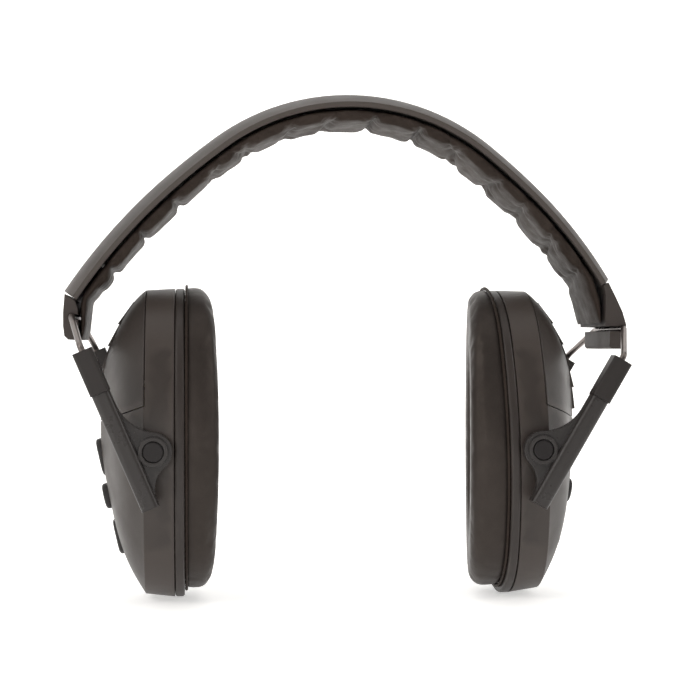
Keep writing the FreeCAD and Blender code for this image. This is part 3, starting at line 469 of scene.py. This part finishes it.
def oval_point(turn, half_height, half_width, roundness):
    """A point of the four-arc oval, as Y and Z; the angle starts at the back and goes over the top."""
    end_radius = roundness * half_width
    reach = half_height - end_radius
    flank = (reach ** 2 + half_width ** 2 - end_radius ** 2) / (2 * (half_width - end_radius))
    shift = flank - half_width
    switch = math.atan2(reach, shift)
    lengths = (flank * switch, end_radius * (math.pi / 2 - switch))
    quarter = sum(lengths)
    travel = turn / (math.pi / 2) % 4
    number, part = int(travel), travel - int(travel)
    if number % 2:
        part = 1 - part
    walked = part * quarter
    if walked <= lengths[0]:
        angle = walked / flank
        y, z = flank * math.cos(angle) - shift, flank * math.sin(angle)
    else:
        angle = switch + (walked - lengths[0]) / end_radius
        y, z = end_radius * math.cos(angle), reach + end_radius * math.sin(angle)
    return (y if number in (0, 3) else -y), (z if number in (0, 1) else -z)


# The cups: the share of the oval's half width that rounds its ends, the height of their middle, how far
# the middle of the head lies along X, and each cup's lean on its pins in degrees
ROUNDNESS = 0.86
CUP_MIDDLE, CUP_SHIFT = 55.3 * MM, -1.4511 * MM
LEANS = {"left": 0.0, "right": 2.0}
# The cushions: distances of back and face from the middle of the head, half height and half width outside
# and in the opening, how far the outside lies above the opening, and the slope of each face in degrees
CUSHION_BACK, CUSHION_FACE = 55.4 * MM, 47.9 * MM
CUSHION_OUTER, CUSHION_INNER = (53.3 * MM, 35.9 * MM), (31.3 * MM, 18.8 * MM)
CUSHION_RISE = 1.7 * MM
WEDGES = {"left": 6.0, "right": 8.0}
CUSHION_ROWS = 240


def cup_frame(name):
    """The cup's own axes: X outward from the middle of the head, origin at half the cup's height."""
    side = SIDES[name]
    pivot = Vector(joints[f"tilt_{name}"]["pos_m"])
    lean = Matrix.Rotation(math.radians(-side * LEANS[name]), 4, "Y")
    place = Matrix.Translation(pivot) @ lean @ Matrix.Translation(-pivot)
    return place @ Matrix.Translation(Vector((CUP_SHIFT, 0, CUP_MIDDLE))) @ Matrix.Diagonal((side, 1, 1, 1))


def cushion_section():
    """A boxy loop with rounded corners, as shares across from the outer side (0) to the opening (1)
    and in depth from the back (0) to the face (1)."""
    # Each corner: its centre across and in depth, the angle where it starts, its radius across and in depth
    corners = ((0.84, 0.66, 0, 0.16, 0.34), (0.16, 0.66, 90, 0.16, 0.34),
               (0.05, 0.12, 180, 0.05, 0.12), (0.95, 0.12, 270, 0.05, 0.12))
    corner_steps, flat_steps, side_steps = 6, 9, 3
    loop = []
    for number, (across, depth, start, wide, deep) in enumerate(corners):
        turns = [math.radians(start + 90 * k / corner_steps) for k in range(corner_steps + 1)]
        loop += [(across + wide * math.cos(turn), depth + deep * math.sin(turn)) for turn in turns]
        after = corners[(number + 1) % len(corners)]
        turn = math.radians(after[2])
        aim = (after[0] + after[3] * math.cos(turn), after[1] + after[4] * math.sin(turn))
        last, count = loop[-1], side_steps if number % 2 else flat_steps
        for k in range(1, count):
            loop.append(tuple(last[n] + (aim[n] - last[n]) * k / count for n in (0, 1)))
    return loop


def ear_cushion(name):
    """A ring of foam under thin leather, thicker at the front, swollen a little on its face."""
    swell_height, held_depth = 0.35 * MM, 0.12
    side, section = SIDES[name], cushion_section()
    width = len(section)
    place = cup_frame(name)
    wedge = math.tan(math.radians(WEDGES[name]))
    lean = math.tan(math.radians(LEANS[name]))
    turns = [2 * math.pi * row / CUSHION_ROWS for row in range(CUSHION_ROWS)]
    rings = []
    for turn in turns:
        outer = oval_point(turn, *CUSHION_OUTER, ROUNDNESS)
        inner = oval_point(turn, *CUSHION_INNER, ROUNDNESS)
        ring = []
        for across, depth in section:
            y = outer[0] + (inner[0] - outer[0]) * across
            z = outer[1] + CUSHION_RISE + (inner[1] - outer[1] - CUSHION_RISE) * across
            face = CUSHION_FACE + wedge * y + lean * z
            swell = swell_height * math.sin(math.pi * across) * depth
            ring.append(place @ Vector((CUSHION_BACK + (face - CUSHION_BACK) * depth - swell, y, z)))
        rings.append(ring)
    cushion = grid_surface(f"soft_cushion_{name}", rings, True)
    pinned = [row * width + step for row in range(CUSHION_ROWS)
              for step, (_, depth) in enumerate(section) if depth < held_depth]
    inflate(cushion, pressure=2.0, growth=0.01, frames=10, cap=0.45 * MM, pinned=pinned)
    for index, vertex in enumerate(cushion.data.vertices):
        row, step = divmod(index, width)
        across, depth = section[step]
        # A tight pucker beside the seam, stronger low down, and a slow unevenness on the face
        near_seam = math.exp(-depth / 0.2)
        turn = turns[row]
        ripple = noise.noise(Vector((math.cos(turn) * 30, math.sin(turn) * 40, across * 3)))
        slow = noise.noise(Vector((math.cos(turn) * 3, math.sin(turn) * 3.5, across * 2 + side)))
        low = max(0.0, -math.sin(turn)) ** 3
        outward = Vector((0, vertex.co.y, vertex.co.z - CUP_MIDDLE)).normalized()
        outward *= 1 if across < 0.5 else -1
        vertex.co += outward * ((0.22 + 0.3 * low) * MM * ripple * near_seam + 0.2 * MM * slow * depth)
    subdivide(cushion)
    attach(cushion, f"cup_{name}", "cushion_leather", f"ear_cushion_{name}")


def seam_welt(name):
    """The thin rolled edge where the cushion's cover is drawn over the base ring."""
    rows, width, radius, reach, inset, look_ahead = 480, 12, 0.5 * MM, 0.75 * MM, 0.42 * MM, 0.01
    outline = (CUSHION_OUTER[0] + reach, CUSHION_OUTER[1] + reach, ROUNDNESS)
    place = cup_frame(name)
    rings = []
    for row in range(rows):
        turn = 2 * math.pi * row / rows
        y, z = oval_point(turn, *outline)
        ahead = oval_point(turn + look_ahead, *outline)
        outward = Vector((0, ahead[1] - z, y - ahead[0])).normalized()
        pucker = noise.noise(Vector((math.cos(turn) * 40, math.sin(turn) * 55, 2.0)))
        thick = radius * (1 + 0.25 * pucker)
        middle = Vector((CUSHION_BACK - inset, y, z + CUSHION_RISE))
        ring = []
        for step in range(width):
            angle = 2 * math.pi * step / width
            offset = outward * math.cos(angle) * thick * 1.3 + Vector((math.sin(angle) * thick, 0, 0))
            ring.append(place @ (middle + offset))
        rings.append(ring)
    welt = grid_surface(f"seam_welt_{name}", rings, True)
    attach(welt, f"cup_{name}", "pad_leather")


# ---------------------------------------------------------------- studio

# The lights: name, place, the point each is turned to, width in metres and power in watts
LAMPS = (("key_left", (-0.9, -0.5, 0.7), (0, 0, 0.09), 0.5, 4.0),
         ("key_right", (1.0, -0.35, 0.6), (0, 0, 0.09), 0.5, 2.6),
         ("low_front", (-0.35, -0.75, 0.1), (-0.06, 0, 0.03), 0.25, 0.8),
         ("top", (0.0, 0.1, 1.6), (0, 0.1, 0.0), 2.2, 15.0),
         ("backdrop", (0.0, 0.5, 0.9), (0, 1.6, 0.35), 1.6, 7.0))


def studio():
    """Pale, faintly glowing floor that runs up into a backdrop, soft lights and a dim surround."""
    half, front, back, height, bend, bend_steps = 12.0, -12.0, 1.6, 3.0, 0.9, 16
    roughness, glow, glow_colour = 0.8, 0.5, (1.0, 1.0, 0.99, 1.0)
    surround_colour, surround_strength, lamp_colour = (1.0, 0.985, 0.97, 1.0), 0.16, (1.0, 0.97, 0.94)
    profile = [(front, 0.0), (back - bend, 0.0)]
    for k in range(1, bend_steps + 1):
        angle = math.pi / 2 * k / bend_steps
        profile.append((back - bend + bend * math.sin(angle), bend - bend * math.cos(angle)))
    profile.append((back, height))
    mesh = bpy.data.meshes.new("floor")
    points = [(x, y, z) for y, z in profile for x in (-half, half)]
    mesh.from_pydata(points, [], [(2 * k, 2 * k + 1, 2 * k + 3, 2 * k + 2) for k in range(len(profile) - 1)])
    mesh.shade_smooth()
    floor = bpy.data.objects.new("floor", mesh)
    scene.collection.objects.link(floor)
    nodes = Nodes("floor")
    pale = nodes.mix(nodes.noise(3.0), (0.90, 0.90, 0.895), (0.93, 0.93, 0.925))
    glowing = nodes.finish(pale, roughness, None, Emission_Color=glow_colour, Emission_Strength=glow)
    mesh.materials.append(glowing)
    world = bpy.data.worlds.new("surround")
    world.use_nodes = True
    background = world.node_tree.nodes["Background"]
    background.inputs["Color"].default_value = surround_colour
    background.inputs["Strength"].default_value = surround_strength
    scene.world = world
    for name, at, aim, wide, power in LAMPS:
        lamp = bpy.data.lights.new(name, "AREA")
        lamp.size, lamp.energy, lamp.color = wide, power, lamp_colour
        holder = bpy.data.objects.new(name, lamp)
        holder.location = at
        holder.rotation_euler = (Vector(aim) - Vector(at)).to_track_quat("-Z", "Y").to_euler()
        scene.collection.objects.link(holder)


def camera():
    """Level view from the front, a little to the left, from 0.58 m. Lens and sensor in millimetres."""
    distance, swing, height, aim_x = 0.58, math.radians(5.6), 0.0883, 0.00244
    lens, sensor_width = 82.3, 36.0
    data = bpy.data.cameras.new("camera")
    data.lens, data.sensor_width = lens, sensor_width
    eye = bpy.data.objects.new("camera", data)
    toward = Vector((math.sin(swing), math.cos(swing), 0))
    eye.location = Vector((aim_x, 0, height)) - toward * distance
    eye.rotation_euler = toward.to_track_quat("-Z", "Y").to_euler()
    scene.collection.objects.link(eye)
    scene.camera = eye


scene.view_settings.view_transform = "Standard"
dress_frame()
headband_pad()
for cup in SIDES:
    ear_cushion(cup)
    seam_welt(cup)
studio()
camera()
